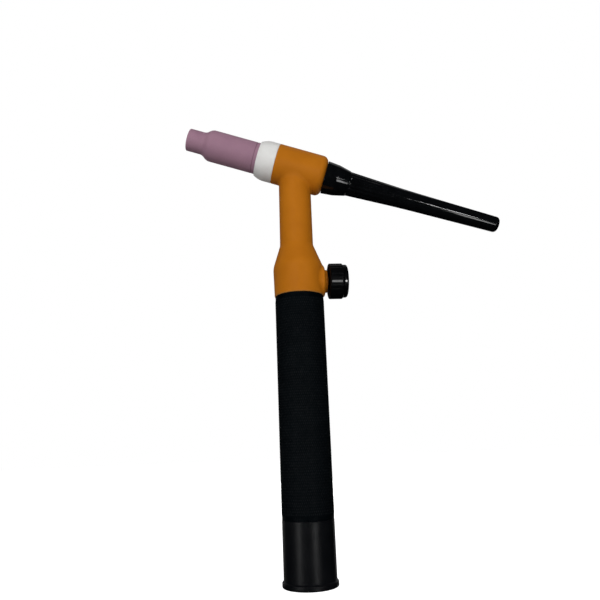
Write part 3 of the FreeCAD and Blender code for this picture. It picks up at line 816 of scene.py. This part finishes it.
def knob_mesh():
    """Knob's profile turned about the valve's axis: a fluted drum and a smaller domed end."""
    end = knob_step + KNOB_END_LENGTH
    profile = outline(
        (KNOB_BORE, knob_face),
        (KNOB_SIDE, knob_face, KNOB_ROUNDING),
        (KNOB_SIDE, knob_step, KNOB_ROUNDING),
        (KNOB_END, knob_step + KNOB_STEP_RISE, KNOB_STEP_ROUNDING),
        (KNOB_END, end, KNOB_END_ROUNDING),
        (KNOB_DOME_SHARE * KNOB_END, end + KNOB_DOME, KNOB_DOME_ROUNDING),
        (KNOB_RECESS, end + KNOB_DOME_TOP, KNOB_RECESS_ROUNDING),
        (KNOB_RECESS, end - KNOB_RECESS_DEPTH),
        (KNOB_BORE, end - KNOB_RECESS_DEPTH),
        longest=KNOB_LONGEST_STEP,
    )
    return turned_mesh("valve_knob", profile, KNOB_STEPS, VALVE, knob_swell)


piece(knob_mesh(), knob_plastic, "valve", "knob_plastic", "valve_knob")


# ---- Grip and boot ----

KNURL_AROUND = 80               # diamonds round the grip
KNURL_PERIOD = 3.0              # along the grip
KNURL_DEPTH = 0.2
KNURL_MARGIN = 0.9              # plain ends of the grip
KNURL_PARTS = 4                 # mesh steps to a diamond, each way
GRIP_WALL = 2.5
GRIP_CHAMFER = 0.3              # bore's edges
GRIP_EDGE = 0.15                # outer edges, cut back in two steps
GRIP_EDGE_STEP = 0.04
GRIP_BORE_LENGTH = 20           # of the bore's own points, from each end
GRIP_SHARP = 12

BOOT_INSET = 0.1                # boot's side inside the grip's
BOOT_BORE = grip_radius - 4.5
BOOT_SPIGOT = grip_radius - 2.55
BOOT_LIP_HEIGHT = 2.6
BOOT_LIP_ROUNDING = 0.7
BOOT_SIDE_START = 3.4
BOOT_SIDE_ROUNDING = 0.6
BOOT_TOP_ROUNDING = 0.25
BOOT_SPIGOT_ROUNDING = 0.4
BOOT_STEPS = 160


def grip_mesh():
    """Knurled grip: small pyramids in staggered rows between plain ends.

    Along the two slanting directions a = u + v and b = u - v, u counted round the grip and v
    along it, each height is the triangle wave 1 - |2 frac - 1|, and the lower of the two is the
    pyramid's. Faces on the knurl are cut in two along the pyramids' edges.
    """
    columns = KNURL_PARTS * KNURL_AROUND
    length = grip_high - KNURL_MARGIN - (grip_low + KNURL_MARGIN)
    rows = KNURL_PARTS * int(length / KNURL_PERIOD) + 1
    start = (grip_low + grip_high - (rows - 1) * KNURL_PERIOD / KNURL_PARTS) / 2
    i, j = np.meshgrid(np.arange(rows), np.arange(columns), indexing="ij")
    u, v = j / KNURL_PARTS, i / KNURL_PARTS
    waves = [1 - np.abs(2 * ((w + 0.5) % 1) - 1) for w in (u + v, u - v)]
    inside = np.clip(np.minimum(i, rows - 1 - i), 0, 1)
    radius = grip_radius - KNURL_DEPTH * (1 - np.minimum(*waves) * inside)
    along = start + i * KNURL_PERIOD / KNURL_PARTS
    floor_radius = grip_radius - KNURL_DEPTH
    bore = grip_radius - GRIP_WALL
    low_end = np.array(((bore, start + GRIP_BORE_LENGTH),
                        (bore, grip_low + GRIP_CHAMFER),
                        (bore + GRIP_CHAMFER, grip_low),
                        (floor_radius - GRIP_EDGE, grip_low),
                        (floor_radius - GRIP_EDGE_STEP, grip_low + GRIP_EDGE_STEP),
                        (floor_radius, grip_low + GRIP_EDGE)))
    high_end = np.stack((low_end[::-1, 0], grip_low + grip_high - low_end[::-1, 1]), 1)
    angle = 2 * math.pi * np.arange(columns)[None, :] / columns
    knurl = np.stack((radius * np.cos(angle), radius * np.sin(angle), along), -1)
    grid = np.concatenate((carried_round(low_end, columns, HANDLE), knurl,
                           carried_round(high_end, columns, HANDLE)))
    faces = grid_faces(len(grid), columns, True)
    row, column = np.divmod(faces[:, 0], columns)
    row = row - len(low_end)
    on_knurl = (row >= 0) & (row < rows - 1)
    rising = on_knurl & ((row - column) % KNURL_PARTS == 0)
    falling = on_knurl & ((row + column) % KNURL_PARTS == KNURL_PARTS - 1)
    a, b, c, d = faces[rising].T
    halves = [np.stack((a, b, c, c), 1), np.stack((a, c, d, d), 1)]
    a, b, c, d = faces[falling].T
    halves += [np.stack((a, b, d, d), 1), np.stack((b, c, d, d), 1)]
    faces = np.concatenate((faces[~(rising | falling)], *halves))
    mesh = mesh_of("grip", grid.reshape(-1, 3), faces, GRIP_SHARP)
    points = points_of(mesh)
    share = (np.hypot(points[:, 0], points[:, 1]) - floor_radius) / KNURL_DEPTH
    share = np.clip(share, 0, 1).astype(np.float32)
    mesh.attributes.new("knurl", "FLOAT", "POINT").data.foreach_set("value", share)
    return mesh


def boot_mesh():
    """Boot's profile turned about the handle's axis, with a rounded lip at its open end."""
    side = grip_radius - BOOT_INSET
    top = grip_low - FACE_GAP
    profile = outline(
        (BOOT_BORE, boot_low),
        (boot_lip, boot_low, BOOT_LIP_ROUNDING),
        (boot_lip, boot_low + BOOT_LIP_HEIGHT, BOOT_LIP_ROUNDING),
        (side, boot_low + BOOT_SIDE_START, BOOT_SIDE_ROUNDING),
        (side, top, BOOT_TOP_ROUNDING),
        (BOOT_SPIGOT, top),
        (BOOT_SPIGOT, boot_high, BOOT_SPIGOT_ROUNDING),
        (BOOT_BORE, boot_high, BOOT_SPIGOT_ROUNDING),
    )
    return turned_mesh("rear_boot", profile, BOOT_STEPS, HANDLE)


piece(grip_mesh(), grip_plastic(), "torch", "grip_plastic", "handle_tube")
piece(boot_mesh(), boot_plastic, "torch", "boot_plastic", "rear_boot")


# ---- Camera, floor and light ----

CAMERA_PLACE = (-30.03, -350.47, 72.76)
CAMERA_FORWARD = (0.0837, 0.9672, 0.240)
CAMERA_UP = (0.0191, -0.2424, 0.970)
SENSOR_WIDTH = 36.0
LENS = 35.92
NEAREST = 0.01                  # in metres, as Blender has it
FURTHEST = 50.0

HANDLE_MIDDLE = (0, 0, 150)     # what the lights face
HANDLE_LOW = (0, 0, 80)
BOOT_MIDDLE = (0, 0, 20)
CAP_MIDDLE = (70, 0, 220)
TORCH_HIGH = (0, 0, 200)

FLOOR_HALF = 4                  # in metres
FLOOR_GLOW = 0.95
FLOOR_SHADE = 0.9               # as the camera sees it
FLOOR_FELT = 0.30               # as the object feels it
WORLD_FELT = 0.14


def look(position, forward, up):
    """Placement of a camera or light at a position in mm, facing forward."""
    ahead = np.array(forward, float) / np.linalg.norm(forward)
    right = np.cross(ahead, up)
    right = right / np.linalg.norm(right)
    above = np.cross(right, ahead)
    turn = np.eye(4)
    turn[:3, :3] = np.stack((right, above, -ahead), 1)
    turn[:3, 3] = np.array(position) * MM
    return Matrix(turn.tolist())


def soft_light(name, position, target, width, height, watts, seen_in_gloss=True):
    """Rectangular lamp at a position in mm, facing a target."""
    lamp = bpy.data.lights.new(name, "AREA")
    lamp.shape = "RECTANGLE"
    lamp.size = width * MM
    lamp.size_y = height * MM
    lamp.energy = watts
    made = bpy.data.objects.new(name, lamp)
    made.matrix_world = look(position, np.array(target) - position, (0, 0, 1.0))
    made.visible_camera = False
    made.visible_glossy = seen_in_gloss
    bpy.context.scene.collection.objects.link(made)


def plain_shader(tree, kind, shade, strength=None):
    """Background, emission or diffuse shader of one grey shade."""
    made = tree.nodes.new(kind)
    made.inputs["Color"].default_value = (shade, shade, shade, 1)
    if strength is not None:
        made.inputs["Strength"].default_value = strength
    return made


def two_faced(tree, shown, felt, output):
    """Feeds an output with one shader as the camera sees it and one as the object feels it."""
    either = tree.nodes.new("ShaderNodeMixShader")
    rays = tree.nodes.new("ShaderNodeLightPath")
    tree.links.new(rays.outputs["Is Camera Ray"], either.inputs[0])
    tree.links.new(felt.outputs[0], either.inputs[1])
    tree.links.new(shown.outputs[0], either.inputs[2])
    tree.links.new(either.outputs[0], tree.nodes.new(output).inputs["Surface"])


def empty_tree(owner):
    """Cleared node tree of a world or material."""
    owner.use_nodes = True
    owner.node_tree.nodes.clear()
    return owner.node_tree


view = bpy.data.cameras.new("camera")
view.sensor_width = SENSOR_WIDTH
view.lens = LENS
view.clip_start = NEAREST
view.clip_end = FURTHEST
camera = bpy.data.objects.new("camera", view)
camera.matrix_world = look(CAMERA_PLACE, CAMERA_FORWARD, CAMERA_UP)
bpy.context.scene.collection.objects.link(camera)
bpy.context.scene.camera = camera

# The wide lights shape the surfaces; the strips and rims draw the highlights on the blacks
soft_light("key", (-130, -950, 420), HANDLE_MIDDLE, 800, 800, 6.8, seen_in_gloss=False)
soft_light("back_fill", (0, 950, 400), HANDLE_MIDDLE, 800, 800, 4.0, seen_in_gloss=False)
soft_light("right_fill", (850, 500, 350), HANDLE_MIDDLE, 600, 600, 0.9, seen_in_gloss=False)
soft_light("left_fill", (-850, 600, 350), HANDLE_MIDDLE, 600, 600, 0.9, seen_in_gloss=False)
soft_light("sky", (0, 450, 900), TORCH_HIGH, 1000, 800, 0.8)
soft_light("front_strip", (198, -481, 149), CAP_MIDDLE, 78, 11, 0.16)
soft_light("left_strip", (-420, -380, 60), BOOT_MIDDLE, 90, 300, 0.34)
soft_light("right_strip", (190, -460, -25), BOOT_MIDDLE, 60, 140, 0.15)
soft_light("left_rim", (-450, 800, 100), HANDLE_LOW, 300, 600, 0.16)
soft_light("right_rim", (450, 800, 100), HANDLE_LOW, 300, 600, 0.32)

world = bpy.data.worlds.new("studio")
bpy.context.scene.world = world
tree = empty_tree(world)
shown = plain_shader(tree, "ShaderNodeBackground", 1.0)
felt = plain_shader(tree, "ShaderNodeBackground", WORLD_FELT)
two_faced(tree, shown, felt, "ShaderNodeOutputWorld")
world.cycles_visibility.glossy = False

floor_mesh = bpy.data.meshes.new("floor")
around = ((-1, -1), (1, -1), (1, 1), (-1, 1))
floor_corners = [(x * FLOOR_HALF, y * FLOOR_HALF, 0) for x, y in around]
floor_mesh.from_pydata(floor_corners, [], [(0, 1, 2, 3)])
floor = bpy.data.objects.new("floor", floor_mesh)
bpy.context.scene.collection.objects.link(floor)
ground = bpy.data.materials.new("floor")
tree = empty_tree(ground)
lit = tree.nodes.new("ShaderNodeAddShader")
glow = plain_shader(tree, "ShaderNodeEmission", 1.0, FLOOR_GLOW)
pale = plain_shader(tree, "ShaderNodeBsdfDiffuse", FLOOR_SHADE)
tree.links.new(glow.outputs[0], lit.inputs[0])
tree.links.new(pale.outputs[0], lit.inputs[1])
felt = plain_shader(tree, "ShaderNodeBsdfDiffuse", FLOOR_FELT)
two_faced(tree, lit, felt, "ShaderNodeOutputMaterial")
floor_mesh.materials.append(ground)
floor.visible_glossy = False

bpy.context.scene.view_settings.view_transform = "Standard"
